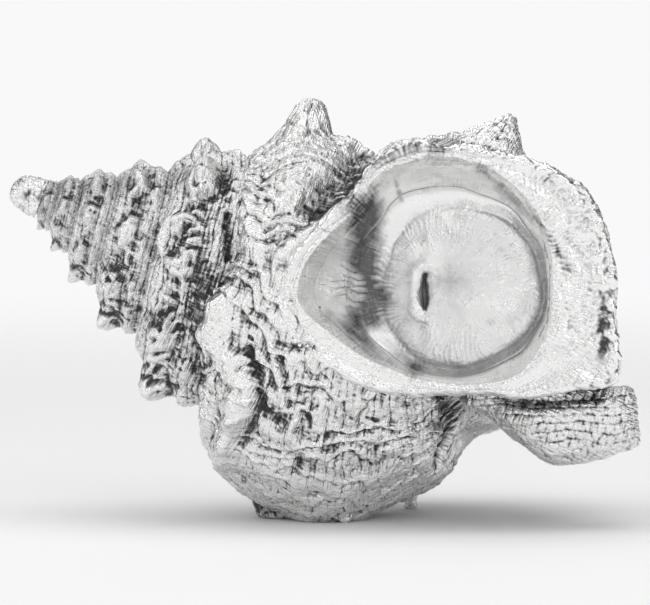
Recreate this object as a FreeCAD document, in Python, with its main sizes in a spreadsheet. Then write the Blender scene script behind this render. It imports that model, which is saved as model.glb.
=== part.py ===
"""Frog shell ornament: a cast, silver-coloured sea shell that lies on its side.

The shell is a conical spiral. Every whorl is the one before it, made larger by
whorl_growth, so one outline, written as shares of the distance from the apex to
the suture, gives all of them. Lengths are millimetres and angles are degrees.

Position inside the shell is given by three numbers:
  along   distance from the apex along the shell's axis
  radius  distance from that axis
  turn    growth in turns: 0 is the top of the last whorl, where the lip starts,
          -0.25 is the back, -0.5 the underside and -0.75 the side with the aperture
"""
import FreeCAD, Part
import math
import os

Vector = FreeCAD.Vector
Rotation = FreeCAD.Rotation
Placement = FreeCAD.Placement

doc = FreeCAD.newDocument("frog_shell")
sheet = doc.addObject("Spreadsheet::Sheet", "dimensions")

DIMENSIONS = [
    ("axis_tilt", 21.5, "how far the axis falls from the apex to the canal, degrees"),
    ("apex_x", -95.45, "place of the apex in the frame"),
    ("apex_y", -3.24, "place of the apex in the frame"),
    ("apex_z", 99.6, "place of the apex in the frame"),
    ("whorl_growth", 1.5, "how much larger each whorl is than the one before"),
    ("suture_along", 92.0, "apex to suture at the start of the lip"),
    ("flatness", 0.85, "front-to-back size of the spiral as a share of its height"),
    ("lip_narrowing", 0.85, "radius of the last whorl at the lip as a share of the spiral's"),
    ("seam", 0.10, "gap between two whorls where they lie on each other"),
    ("columella_slope", 0.052, "radius of the central pillar as a share of along"),
    ("columella_start", 24.0, "along where the pillar starts"),
    ("columella_end", 158.0, "along where the pillar ends"),
    ("lip_depth", 44.0, "rim of the aperture in front of the axis"),
    ("lip_wall", 5.0, "thickness of the outer lip's wall and of its front margin"),
    ("bowl_along", 130.0, "centre of the aperture's bowl, along the axis"),
    ("bowl_height", 22.5, "centre of the aperture's bowl, above the axis"),
    ("bowl_radius", 30.5, "radius of the bowl at the rim"),
    ("bowl_floor_radius", 24.0, "radius of the bowl's floor"),
    ("bowl_depth", 20.0, "depth of the bowl at the edge of its floor"),
    ("bowl_crown", 4.0, "extra depth at the middle of the floor"),
    ("bowl_wall", 2.5, "thickness of the aperture's lining"),
    ("base_draw", 0.2, "how far the base of the last whorl draws in at the lip, as a share"),
    ("nodules_per_whorl", 8, "knobs on the shoulder of one whorl"),
    ("nodule_along", 1.235, "place of the knobs as a share of the suture distance"),
    ("nodule_radius", 0.73, "distance of the knobs from the axis as a share"),
    ("nodule_share", 0.105, "half size of a knob as a share of the suture distance"),
    ("body_nodule_share", 0.065, "the same for the low knobs of the last whorl"),
    ("horn_along", 74.0, "place of the largest knob along the axis"),
    ("horn_radius", 42.0, "distance of its middle from the axis"),
    ("horn_height", 12.5, "its half size away from the axis"),
    ("horn_width", 8.0, "its half size across"),
    ("spike_along", 131.0, "place of the lip's spike along the axis"),
    ("spike_radius", 56.0, "distance of its middle from the axis"),
    ("spike_turn", 0.03, "its place past the start of the lip, in turns"),
    ("spike_height", 19.0, "its half size away from the axis"),
    ("spike_width", 12.0, "its half size round the axis"),
    ("spike_thickness", 9.0, "its half size along the axis"),
    ("canal_wall", 3.5, "thickness of the canal's wall"),
    ("groove_low", 1.0, "lower side of the canal's groove, above the axis"),
    ("groove_high", 5.0, "upper side of the canal's groove"),
    ("groove_front", 17.0, "how far in front of the axis the groove starts"),
    ("nub_radius", 4.0, "radius of a nub at the floor"),
    ("nub_height", 12.0, "height of a nub, floor to buried end"),
    ("basal_x", -15.8, "place of the basal nub in the frame"),
    ("basal_y", 2.4, "place of the basal nub in the frame"),
    ("belly_x", 4.2, "place of the belly nub in the frame"),
    ("belly_y", -12.6, "place of the belly nub in the frame"),
    ("rear_x", 24.2, "place of the rear nub in the frame"),
    ("rear_y", 26.4, "place of the rear nub in the frame"),
]
for row, (alias, value, note) in enumerate(DIMENSIONS, start=1):
    sheet.set("A%d" % row, alias)
    sheet.set("B%d" % row, str(value))
    sheet.set("C%d" % row, note)
    sheet.setAlias("B%d" % row, alias)
doc.recompute()


def size(alias):
    """Value of one cell of the sheet."""
    return float(sheet.get(alias))


stand = Placement(
    Vector(size("apex_x"), size("apex_y"), size("apex_z")),
    Rotation(Vector(0, 1, 0), size("axis_tilt")),
)

# outlines of a whorl, as (along, radius) shares of the distance from apex to suture
WALL = [(1.0, 0.535), (1.08, 0.655), (1.20, 0.745), (1.38, 0.80), (1.50, 0.8025)]
BASE = [(1.69, 0.74), (1.90, 0.615), (2.03, 0.44), (2.06, 0.27)]
BASE_END = (2.10, 0.14)
SEPTUM = [(1.50, 0.8025), (1.69, 0.50), (1.76, 0.12)]
CAVITY_REAR = [(1.29, 0.22), (1.19, 0.36), (1.12, 0.55), (1.22, 0.67), (1.38, 0.735)]
CAVITY_SPIRE = [(1.49, 0.735), (1.60, 0.52), (1.64, 0.28)]
CAVITY_BASE = [(1.50, 0.74), (1.68, 0.675), (1.85, 0.55), (1.94, 0.40), (1.93, 0.28), (1.60, 0.21)]
STATIONS_PER_TURN = 12


def reach(turn):
    """Distance from the apex to the suture at a turn."""
    return size("suture_along") * size("whorl_growth") ** turn


def lateness(turn):
    """0 up to the middle of the last whorl, then rising to 1 at the lip."""
    return min(max((turn + 0.5) / 0.5, 0.0), 1.0)


def narrowing(turn, share):
    """Factor on the radius: the last half turn draws in towards the lip."""
    away = min(max((share - 1.0) / 0.2, 0.0), 1.0)
    return 1.0 - (1.0 - size("lip_narrowing")) * lateness(turn) * away


def drawn_in(turn, share):
    """Along share of a point: the base of the last half turn is shorter."""
    beyond = max(share - size("whorl_growth"), 0.0)
    return share - beyond * size("base_draw") * lateness(turn)


def shell_point(along, radius, turn):
    """Point of the frame for a place in the shell."""
    angle = 2.0 * math.pi * turn
    local = Vector(
        along,
        -size("flatness") * radius * math.sin(angle),
        radius * math.cos(angle),
    )
    return stand.multVec(local)


def outline_points(shares, turn, scale=1.0, shift=0.0):
    """Points of an outline at a turn, narrowed where the lip draws in."""
    distance = reach(turn) * scale
    points = []
    for along, radius in shares:
        if scale == 1.0:
            radius *= narrowing(turn, along)
            along = drawn_in(turn, along)
        points.append(shell_point(distance * along + shift, distance * radius, turn))
    return points


def places_of(shares, closed=False):
    """Place of each point along its outline, so that all sections of a loft match."""
    path = list(shares) + ([shares[0]] if closed else [])
    places = [0.0]
    for before, after in zip(path, path[1:]):
        places.append(places[-1] + math.dist(before, after))
    return [place / places[-1] for place in places]


def curve(points, places):
    """Smooth edge through points, which lie at places along it."""
    spline = Part.BSplineCurve()
    spline.interpolate(Points=points, Parameters=places)
    return spline.toShape()


def loop(points, places):
    """Smooth closed edge through points, which lie at places along it."""
    spline = Part.BSplineCurve()
    spline.interpolate(Points=points, PeriodicFlag=True, Parameters=places)
    return spline.toShape()


def straight(start, end):
    return Part.LineSegment(start, end).toShape()


def whorl_section(turn, with_base):
    """Closed wire across one whorl: wall, front side, pillar side and rear septum."""
    rear = outline_points(SEPTUM, turn, 1.0 / size("whorl_growth"), size("seam"))
    outline = WALL + BASE if with_base else WALL
    wall = outline_points(outline, turn)
    if with_base:
        front = outline_points([BASE[-1], BASE_END], turn)
        front_edge = straight(front[0], front[1])
    else:
        front = outline_points(SEPTUM, turn)
        front_edge = curve(front, places_of(SEPTUM))
    wall[0] = rear[0]
    edges = [
        curve(wall, places_of(outline)),
        front_edge,
        straight(front[-1], rear[-1]),
        curve(rear[::-1], places_of(SEPTUM[::-1])),
    ]
    return Part.Wire(edges)


def cavity_section(turn, with_base):
    """Closed wire across the hollow of one whorl."""
    shares = CAVITY_REAR + (CAVITY_BASE if with_base else CAVITY_SPIRE)
    return Part.Wire([loop(outline_points(shares, turn), places_of(shares, closed=True))])


def turns_between(start, end):
    count = max(2, int(round((end - start) * STATIONS_PER_TURN)))
    return [start + (end - start) * step / count for step in range(count + 1)]


def construction(label, shape):
    """A solid that others are cut from or with; it isn't a sub-part."""
    item = doc.addObject("Part::Feature", label)
    item.Label = label
    item.Shape = shape
    return item


def cut(label, base, tools):
    """base less every tool, one after another; the last cut carries the label."""
    for number, tool in enumerate(tools, start=1):
        name = label if number == len(tools) else "%s_cut_%d" % (label, number)
        item = doc.addObject("Part::Cut", name)
        item.Label = name
        item.Base = base
        item.Tool = tool
        base = item
    return base


def whorl(name, start, end, with_base=False):
    """Solid form of the shell between two turns."""
    wires = [whorl_section(turn, with_base) for turn in turns_between(start, end)]
    return construction(name, Part.makeLoft(wires, True, False))


def hollow(name, start, end, with_base=False):
    """Hollow of the shell between two turns, a little longer than the form."""
    overrun = 0.5 / STATIONS_PER_TURN
    turns = [start - overrun] + turns_between(start, end) + [end + overrun]
    wires = [cavity_section(turn, with_base) for turn in turns]
    return construction(name + "_hollow", Part.makeLoft(wires, True, False))


def group(label, items):
    """Separate solids that share one name."""
    item = doc.addObject("Part::Compound", label)
    item.Links = items
    return item


def common(label, base, tool):
    """What two solids share."""
    item = doc.addObject("Part::MultiCommon", label)
    item.Label = label
    item.Shapes = [base, tool]
    return item


def largest_solid(label, item):
    """The largest solid of a cut, without the crumbs that the cut leaves beside it."""
    doc.recompute()
    solids = sorted(item.Shape.Solids, key=lambda solid: solid.Volume)
    return construction(label, solids[-1])


def local_placement(along, forward, height, rotation=Rotation()):
    """Placement given along the axis, in front of it and above it."""
    return stand.multiply(Placement(Vector(along, -forward, height), rotation))


def block(name, along, forward, height):
    """Box between pairs of limits: along the axis, in front of it and above it."""
    item = doc.addObject("Part::Box", name)
    item.Length = along[1] - along[0]
    item.Width = forward[1] - forward[0]
    item.Height = height[1] - height[0]
    item.Placement = local_placement(along[0], forward[1], height[0])
    return item


# whorls of the spire, which are solid
sub_parts = []
forms = {}
SPIRE = ("spire_whorl_1", "spire_whorl_2", "spire_whorl_3", "spire_whorl_4", "penultimate_whorl")
for number, name in enumerate(SPIRE):
    start = number - 6
    forms[name] = whorl(name, start, start + 1)
    sub_parts.append(forms[name])


def apex_outline():
    """Half outline of the rounded tip, turned about the shell's axis."""
    tip = [Vector(0.0, 0, 0.0), Vector(0.6, 0, 2.2), Vector(3.0, 0, 3.9), Vector(8.0, 0, 5.6)]
    dome = Part.BSplineCurve()
    dome.interpolate(tip)
    end = Vector(8.0, 0, 0.0)
    edges = [dome.toShape(), straight(tip[-1], end), straight(end, tip[0])]
    return Part.Face(Part.Wire(edges))


tip_solid = apex_outline().revolve(Vector(0, 0, 0), Vector(1, 0, 0), 360)
tip_solid.Placement = stand
apex_form = construction("apex_form", tip_solid)
sub_parts.append(cut("apex_protoconch", apex_form, [forms["spire_whorl_1"]]))

# bowl of the aperture: a dish whose axis points at the side with the aperture
def dish(name, wall, mouth):
    """Turned solid of the dish's hollow, made larger by wall and open for mouth."""
    rim = size("bowl_radius") + wall
    floor = size("bowl_floor_radius") + wall
    front = size("lip_depth") + mouth
    edge = size("lip_depth") - size("bowl_depth") - wall
    middle = edge - size("bowl_crown")
    points = [
        Vector(0, 0, front),
        Vector(rim + 1.0, 0, front),
        Vector(rim, 0, size("lip_depth") - 2.0),
        Vector(floor, 0, edge),
        Vector(0, 0, middle),
    ]
    bulge = Vector((rim + floor) / 2 + 2.0, 0, (size("lip_depth") + edge) / 2 - 3.0)
    edges = [
        straight(points[0], points[1]),
        straight(points[1], points[2]),
        Part.Arc(points[2], bulge, points[3]).toShape(),
        straight(points[3], points[4]),
        straight(points[4], points[0]),
    ]
    solid = Part.Face(Part.Wire(edges)).revolve(Vector(0, 0, 0), Vector(0, 0, 1), 360)
    solid.Placement = local_placement(
        size("bowl_along"), 0.0, size("bowl_height"), Rotation(Vector(1, 0, 0), 90)
    )
    return construction(name, solid)


bowl_hollow = dish("bowl_hollow", 0.0, 12.0)
bowl_outer = dish("bowl_outer", size("bowl_wall"), 12.0)
lining_front = block("lining_front", (60, 200), (size("lip_depth"), 90), (-60, 90))
sub_parts.append(cut("aperture_lining", bowl_outer, [bowl_hollow, lining_front]))

# last whorl in four quarters; the first lies behind the aperture's rear side
QUARTERS = (
    ("body_whorl_parietal", -1.0, False),
    ("body_whorl_front", -0.75, True),
    ("body_whorl_underside", -0.50, True),
    ("body_whorl_back", -0.25, True),
)
for name, start, with_base in QUARTERS:
    forms[name] = whorl(name + "_form", start, start + 0.25, with_base)
    tools = [hollow(name, start, start + 0.25, with_base)]
    if start < -0.5:
        tools.append(bowl_outer)
    sub_parts.append(cut(name, forms[name], tools))

columella = doc.addObject("Part::Cone", "columella")
columella.setExpression("Radius1", "dimensions.columella_start * dimensions.columella_slope")
columella.setExpression("Radius2", "dimensions.columella_end * dimensions.columella_slope")
columella.setExpression("Height", "dimensions.columella_end - dimensions.columella_start")
columella.Placement = local_placement(size("columella_start"), 0, 0, Rotation(Vector(0, 1, 0), 90))
sub_parts.append(columella)

# siphonal canal: oval sections along the axis
CANAL = (
    # along, forward, height of the centre, half height, half depth
    (150.0, 15.0, -1.5, 10.5, 11.0),
    (165.0, 16.0, -4.0, 10.5, 11.0),
    (182.0, 16.0, -5.5, 12.5, 10.5),
    (195.0, 15.0, -1.0, 10.5, 9.0),
    (202.0, 14.0, 2.5, 6.5, 6.5),
)
OVAL_POINTS = 16


def oval(along, forward, height, half_height, half_depth):
    """Oval wire across the axis."""
    points = []
    for step in range(OVAL_POINTS):
        angle = 2.0 * math.pi * step / OVAL_POINTS
        across = Vector(
            along,
            -forward + half_depth * math.sin(angle),
            height + half_height * math.cos(angle),
        )
        points.append(stand.multVec(across))
    places = [step / OVAL_POINTS for step in range(OVAL_POINTS + 1)]
    return Part.Wire([loop(points, places)])


canal_form = construction("canal_form", Part.makeLoft([oval(*row) for row in CANAL], True, False))
bore_ovals = [
    oval(*row[:3], row[3] - size("canal_wall"), row[4] - size("canal_wall")) for row in CANAL[1:]
]
canal_bore = construction("canal_bore", Part.makeLoft(bore_ovals, True, False))

# aperture block: the outline of the lip, the inner lip and the parietal side, with a
# front margin and a wall round it
LIP_OUTLINE = (
    (90.0, 33.0), (94.0, 47.0), (118.0, 59.0), (146.0, 63.0), (162.0, 58.0),
    (176.0, 39.5), (185.0, 20.0), (189.0, 4.0),
)
INNER_OUTLINE = ((170.0, -7.0), (145.0, -13.5), (122.0, -16.0), (102.0, -12.0), (89.0, 0.0), (86.0, 16.0))


def aperture_region(name, inset, depth):
    """Solid behind the aperture's outline, with the outline drawn in by inset."""
    middle = Vector(size("bowl_along"), 0, size("bowl_height"))
    sides = []
    for outline in (LIP_OUTLINE, INNER_OUTLINE):
        points = []
        for along, height in outline:
            point = Vector(along, 0, height)
            outward = (point - middle).normalize()
            points.append(stand.multVec(point - outward * inset))
        sides.append(points)
    lip, inner = sides
    edges = [
        curve(lip, places_of(LIP_OUTLINE)),
        straight(lip[-1], inner[0]),
        curve(inner, places_of(INNER_OUTLINE)),
        straight(inner[-1], lip[0]),
    ]
    forward = stand.Rotation.multVec(Vector(0, -depth, 0))
    return construction(name, Part.Face(Part.Wire(edges)).extrude(forward))


aperture_block = aperture_region("aperture_block", 0.0, size("lip_depth"))
aperture_room = aperture_region(
    "aperture_room", size("lip_wall"), size("lip_depth") - size("lip_wall")
)
aperture_shell = cut(
    "aperture_shell",
    aperture_block,
    [aperture_room, bowl_outer, forms["body_whorl_parietal"], forms["body_whorl_front"], canal_form],
)

# the aperture's four sides meet at these places
REAR, REAR_END, FRONT_END = 80, 104, 195
BELOW, INNER_TOP, CALLUS_TOP, ABOVE = -20, -2, 38, 75
ALL_DEPTHS = (-1, 60)
for name, along, height in (
    ("parietal_callus", (REAR, REAR_END), (INNER_TOP, CALLUS_TOP)),
    ("inner_lip", (REAR, FRONT_END), (BELOW, INNER_TOP)),
    ("outer_lip", (REAR_END, FRONT_END), (INNER_TOP, ABOVE)),
    ("anal_canal", (REAR, REAR_END), (CALLUS_TOP, ABOVE)),
):
    zone = block(name + "_zone", along, ALL_DEPTHS, height)
    sub_parts.append(largest_solid(name, common(name + "_share", aperture_shell, zone)))


def knob(name, place, half_sizes, cutters, label=None):
    """Egg-shaped knob on the shell less the solids it grows from.

    place is (along, radius, turn); half_sizes are formulas for the half size away from
    the axis, round it and along it.
    """
    egg = doc.addObject("Part::Ellipsoid", name + "_egg")
    for cell, formula in zip(("Radius1", "Radius2", "Radius3"), half_sizes):
        egg.setExpression(cell, formula)
    outward = Rotation(Vector(1, 0, 0), 360.0 * place[2])
    egg.Placement = Placement(shell_point(*place), stand.Rotation.multiply(outward))
    return cut(label or name, egg, cutters)


def knob_row(label, first, last, share, cutters):
    """Knobs evenly spaced along the shoulder between two counts of knobs."""
    knobs = []
    for number in range(first, last + 1):
        turn = -number / size("nodules_per_whorl")
        along = size("nodule_along")
        radius = size("nodule_radius") * narrowing(turn, along)
        half_size = "dimensions.%s * dimensions.suture_along * dimensions.whorl_growth ^ (%g)" % (
            share, turn,
        )
        place = (reach(turn) * along, reach(turn) * radius, turn)
        knobs.append(knob("%s_%d" % (label, number), place, (half_size,) * 3, cutters))
    return group(label, knobs)


body_forms = [forms[name] for name, start, with_base in QUARTERS]
for label, first, last, share, cutters in (
    ("shoulder_knobs_body", 2, 7, "body_nodule_share", body_forms),
    ("shoulder_knobs_penultimate", 9, 15, "nodule_share", [forms["penultimate_whorl"]] + body_forms),
    ("shoulder_knobs_whorl_4", 16, 23, "nodule_share",
     [forms["spire_whorl_4"], forms["penultimate_whorl"]]),
    ("shoulder_knobs_whorl_3", 24, 31, "nodule_share",
     [forms["spire_whorl_3"], forms["spire_whorl_4"]]),
):
    sub_parts.append(knob_row(label, first, last, share, cutters))

for name, turn, half_sizes, cutters in (
    ("horn", -1.0, ("height", "width", "width"),
     [forms["penultimate_whorl"], forms["body_whorl_parietal"]]),
    ("spike", size("spike_turn"), ("height", "width", "thickness"),
     [aperture_block, forms["body_whorl_back"]]),
):
    place = (size(name + "_along"), size(name + "_radius"), turn)
    formulas = ["dimensions.%s_%s" % (name, word) for word in half_sizes]
    label = "lip_spike" if name == "spike" else name
    sub_parts.append(knob(label, place, formulas, cutters))


def rest_knob(name, side, cutters):
    """Upright knob with a flat foot on the floor, buried in the shell at its top."""
    foot = doc.addObject("Part::Cone", name + "_foot")
    foot.setExpression("Radius1", "dimensions.nub_radius")
    foot.setExpression("Radius2", "dimensions.nub_radius * 1.5")
    foot.setExpression("Height", "dimensions.nub_height")
    foot.Placement = Placement(Vector(size(side + "_x"), size(side + "_y"), 0), Rotation())
    return cut(name, foot, cutters)


underside = [forms["body_whorl_underside"], forms["body_whorl_front"]]
for side in ("basal", "belly", "rear"):
    sub_parts.append(rest_knob(side + "_nub", side, underside))

CANAL_ENDS = (150, 210)
canal_groove = block(
    "canal_groove",
    CANAL_ENDS,
    (size("groove_front"), size("lip_depth")),
    (size("groove_low"), size("groove_high")),
)
sub_parts.append(
    cut(
        "siphonal_canal",
        canal_form,
        underside + [columella, canal_bore, canal_groove],
    )
)

doc.recompute()
for item in doc.Objects:
    if "Invalid" in item.State or "Error" in item.State:
        raise SystemExit("%s failed: %s" % (item.Label, item.State))
box = None
for item in sub_parts:
    shape = item.Shape
    if shape.isNull() or not shape.isValid() or not shape.Solids:
        raise SystemExit("%s has no valid solid" % item.Label)
    print("%-24s %8.1f mm3, %d solids" % (item.Label, shape.Volume, len(shape.Solids)))
    box = shape.BoundBox if box is None else box.united(shape.BoundBox)
print(box)
os.makedirs("parts", exist_ok=True)
for item in sub_parts:
    item.Shape.exportStep("parts/%s.step" % item.Label)
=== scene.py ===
"""Silver frog shell on a pale floor.

The skins are built in the same shell frame as the CAD part: along is the distance from the
apex, height is above the axis, and the side with the aperture faces -Y. Lengths of the
shell are millimetres until a mesh is made. The stage is in metres.
"""
import math

import bpy
import numpy as np
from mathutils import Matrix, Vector
from mathutils.geometry import tessellate_polygon


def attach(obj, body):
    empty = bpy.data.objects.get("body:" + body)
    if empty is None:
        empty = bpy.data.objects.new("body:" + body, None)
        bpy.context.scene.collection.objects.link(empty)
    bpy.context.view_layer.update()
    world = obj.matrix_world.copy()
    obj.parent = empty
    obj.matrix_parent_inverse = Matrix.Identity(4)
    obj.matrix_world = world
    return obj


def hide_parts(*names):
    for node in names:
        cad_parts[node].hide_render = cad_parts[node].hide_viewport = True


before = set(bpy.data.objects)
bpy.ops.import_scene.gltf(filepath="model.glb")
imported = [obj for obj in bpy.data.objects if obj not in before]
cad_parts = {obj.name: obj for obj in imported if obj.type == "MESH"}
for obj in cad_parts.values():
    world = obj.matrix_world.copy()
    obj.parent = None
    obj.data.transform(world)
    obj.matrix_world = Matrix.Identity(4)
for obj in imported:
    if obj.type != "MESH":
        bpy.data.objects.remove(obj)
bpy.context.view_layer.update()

MM = 0.001
DETAIL = 1.0

# the CAD part's own numbers
TILT = math.radians(21.5)
APEX = np.array([-95.45, -3.24, 99.6])
GROWTH = 1.5
SUTURE_ALONG = 92.0
FLATNESS = 0.85
LIP_NARROWING = 0.85
LIP_DEPTH = 44.0
NODULES_PER_WHORL = 8

# one whorl, as (along, radius) shares of the distance from the apex to its suture
TUCK = [(0.985, 0.47), (1.0, 0.535)]
WALL = [(1.08, 0.655), (1.20, 0.745), (1.38, 0.80), (1.50, 0.8025)]
WALL_END = [(1.57, 0.785)]
BASE = [(1.69, 0.74), (1.90, 0.615), (2.03, 0.44), (2.06, 0.27), (2.10, 0.14)]
PILLAR_SIDE = [(1.69, 0.50), (1.76, 0.12), (1.173, 0.08), (1.127, 0.333)]
HOLLOW_WALL = 4.5

# how much the side with the aperture looks upward, as a rise per unit forward
LEAN = 0.078
LOWEST = 0.1

# noise ------------------------------------------------------------------------------------
LATTICE = 256
LAYER_SHIFT = 19.7
generator = np.random.default_rng(11)
SHUFFLE = np.tile(generator.permutation(LATTICE), 2)
DIRECTIONS = generator.normal(size=(LATTICE, 3))
DIRECTIONS /= np.linalg.norm(DIRECTIONS, axis=1)[:, None]


def noise(points, period, layer=0):
    """Smooth random value, about -1 to 1, whose bumps are about one period apart."""
    scaled = points / period + LAYER_SHIFT * layer
    cell = np.floor(scaled).astype(np.int64)
    part = scaled - cell
    ease = part**3 * (part * (part * 6 - 15) + 10)
    total = np.zeros(points.shape[:-1])
    for corner in np.ndindex(2, 2, 2):
        corner = np.array(corner)
        where = (cell + corner) & (LATTICE - 1)
        key = SHUFFLE[SHUFFLE[SHUFFLE[where[..., 0]] + where[..., 1]] + where[..., 2]]
        value = ((part - corner) * DIRECTIONS[key]).sum(-1)
        total += value * np.where(corner, ease, 1 - ease).prod(-1)
    return 1.7 * total


def creases(points, period, layer=0):
    """Crumpled-foil noise from 0 in the creases to 1 on the flats."""
    return np.minimum(np.abs(noise(points, period, layer)) * 2.2, 1.0)


def rope(phase):
    """Rounded cords with narrow grooves between them, 0 to 1."""
    return 1 - np.abs(2 * (phase % 1) - 1) ** 4


def shingle(phase):
    """Ridges that rise slowly and drop away quickly, 0 to 1."""
    part = phase % 1
    return np.where(part < 0.8, (part / 0.8) ** 1.6, (1 - part) / 0.2)


def bell(distance):
    """1 at no distance, falling to nothing past about 2."""
    return np.exp(-distance * distance)


def step(value, low, high):
    """0 below low, 1 above high and smooth between."""
    part = np.clip((value - low) / (high - low), 0, 1)
    return part * part * (3 - 2 * part)


# curves -----------------------------------------------------------------------------------
def through(knots, values, places):
    """Smooth curve through values at knots, read at places."""
    knots = np.asarray(knots, float)
    values = np.asarray(values, float)
    slopes = np.gradient(values, knots, axis=0)
    index = np.clip(np.searchsorted(knots, places, "right") - 1, 0, len(knots) - 2)
    width = knots[index + 1] - knots[index]
    part = (places - knots[index]) / width
    if values.ndim > 1:
        part, width = part[..., None], width[..., None]
    ease = part * part * (3 - 2 * part)
    start = slopes[index] * width * part * (1 - part) ** 2
    end = slopes[index + 1] * width * part * part * (part - 1)
    return values[index] * (1 - ease) + values[index + 1] * ease + start + end


def smooth_line(points, places):
    """Positions from 0 to 1 along a smooth curve through points."""
    points = np.asarray(points, float)
    steps = np.linalg.norm(np.diff(points, axis=0), axis=1)
    knots = np.concatenate([[0], np.cumsum(steps)]) / steps.sum()
    return through(knots, points, places)


def distance_to(points, path):
    """Distance in the plane from points to a path, and the share of the path passed."""
    best = np.full(points.shape[:-1], np.inf)
    share = np.zeros(points.shape[:-1])
    path = np.asarray(path, float)
    for number in range(len(path) - 1):
        start, way = path[number], path[number + 1] - path[number]
        part = np.clip(((points - start) @ way) / (way @ way), 0, 1)
        away = np.linalg.norm(points - start - part[..., None] * way, axis=-1)
        share = np.where(away < best, (number + part) / (len(path) - 1), share)
        best = np.minimum(best, away)
    return best, share


# shell frame ------------------------------------------------------------------------------
def to_frame(local):
    """Frame positions of (along, across, height) in the shell."""
    along, across, height = local[..., 0], local[..., 1], local[..., 2]
    turned = [
        along * math.cos(TILT) + height * math.sin(TILT),
        across,
        height * math.cos(TILT) - along * math.sin(TILT) + LEAN * np.maximum(-across, 0),
    ]
    placed = np.stack(turned, -1) + APEX
    placed[..., 2] = np.maximum(placed[..., 2], LOWEST)
    return placed


def normals_of(grid):
    """Unit normals of a grid of points."""
    across = np.cross(np.gradient(grid, axis=0), np.gradient(grid, axis=1))
    return across / np.maximum(np.linalg.norm(across, axis=-1), 1e-9)[..., None]


def blur(values, rows, columns):
    """Running mean of a grid over some rows and columns each way."""
    for axis, width in ((0, rows), (1, columns)):
        width = max(1, int(width))
        pad = [(0, 0), (0, 0)]
        pad[axis] = (width, width)
        total = np.cumsum(np.pad(values, pad, mode="edge"), axis=axis)
        upper = np.take(total, np.arange(2 * width, total.shape[axis]), axis=axis)
        lower = np.take(total, np.arange(0, total.shape[axis] - 2 * width), axis=axis)
        values = (upper - lower) / (2 * width)
    return values


def spacing_of(grid):
    """Mean distance between the rows and between the columns of a grid."""
    rows = np.linalg.norm(grid[1:] - grid[:-1], axis=-1).mean()
    columns = np.linalg.norm(grid[:, 1:] - grid[:, :-1], axis=-1).mean()
    return rows, columns


# surroundings that a point is compared with, as (radius, weight)
# darkness from this depth is patina in the hollows and painted shade, the wider surroundings
# standing in for ambient occlusion
SURROUNDINGS = [(0.9, 0.9), (2.2, 0.45), (5.0, 0.13)]
LEVEL = 0.47


def hollows(relief, spacing):
    """How far each point of a relief lies below its surroundings: 0 on a peak, 1 in a pit."""
    depth = LEVEL
    for radius, weight in SURROUNDINGS:
        mean = blur(relief, radius / spacing[0], radius / spacing[1])
        depth = depth + weight * (mean - relief)
    return np.clip(depth, 0, 1)


# meshes -----------------------------------------------------------------------------------
def make_piece(name, points, faces, hollow, flow, finish, replaced):
    """Mesh object from frame points in millimetres.

    hollow is the darkness of each point, from patina, painted shade and painted highlights,
    and flow its place along and across the lines of growth in millimetres. finish is a slot
    and its material.
    """
    slot, material = finish
    mesh = bpy.data.meshes.new(name)
    mesh.from_pydata((points * MM).tolist(), [], faces)
    mesh.shade_smooth()
    attribute = mesh.attributes.new("hollow", "FLOAT", "POINT")
    attribute.data.foreach_set("value", np.asarray(hollow, np.float32))
    attribute = mesh.attributes.new("flow", "FLOAT_VECTOR", "POINT")
    both = np.concatenate([flow, np.zeros((len(points), 1))], axis=1)
    attribute.data.foreach_set("vector", both.astype(np.float32).ravel())
    mesh.materials.append(material)
    mesh.validate()
    mesh.update()
    piece = bpy.data.objects.new(name, mesh)
    bpy.context.scene.collection.objects.link(piece)
    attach(piece, "root")
    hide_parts(*replaced)
    return piece


def cap(points, indices, flip):
    """Triangles that close a ring of points."""
    triangles = tessellate_polygon([[Vector(points[i]) for i in indices]])
    faces = []
    for triangle in triangles:
        corners = [int(indices[i]) for i in triangle]
        faces.append(corners[::-1] if flip else corners)
    return faces


def ring_piece(name, grid, hollow, flow, finish, replaced):
    """Closed piece from rows of closed rings with a cap on each end."""
    rows, columns = grid.shape[:2]
    index = np.arange(rows * columns).reshape(rows, columns)
    right = np.roll(index, -1, axis=1)
    quads = np.stack([index[:-1], right[:-1], right[1:], index[1:]], -1).reshape(-1, 4)
    points = grid.reshape(-1, 3)
    faces = quads.tolist()
    faces += cap(points, index[0], True)
    faces += cap(points, index[-1], False)
    flow = flow.reshape(-1, 2)
    return make_piece(name, points, faces, hollow.ravel(), flow, finish, replaced)


# materials --------------------------------------------------------------------------------
def node(tree, kind, inputs=None, **values):
    """Shader node with its inputs set or linked."""
    item = tree.nodes.new(kind)
    for key, value in values.items():
        setattr(item, key, value)
    for key, value in (inputs or {}).items():
        if isinstance(value, bpy.types.NodeSocket):
            tree.links.new(value, item.inputs[key])
        else:
            item.inputs[key].default_value = value
    return item


PATCH_SCALE = 160.0
LINE_STRETCHES = ((0.30, 2.2, 1.0), (1.6, 0.35, 1.0))
POLISHED = (0.93, 0.93, 0.925, 1)


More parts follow.
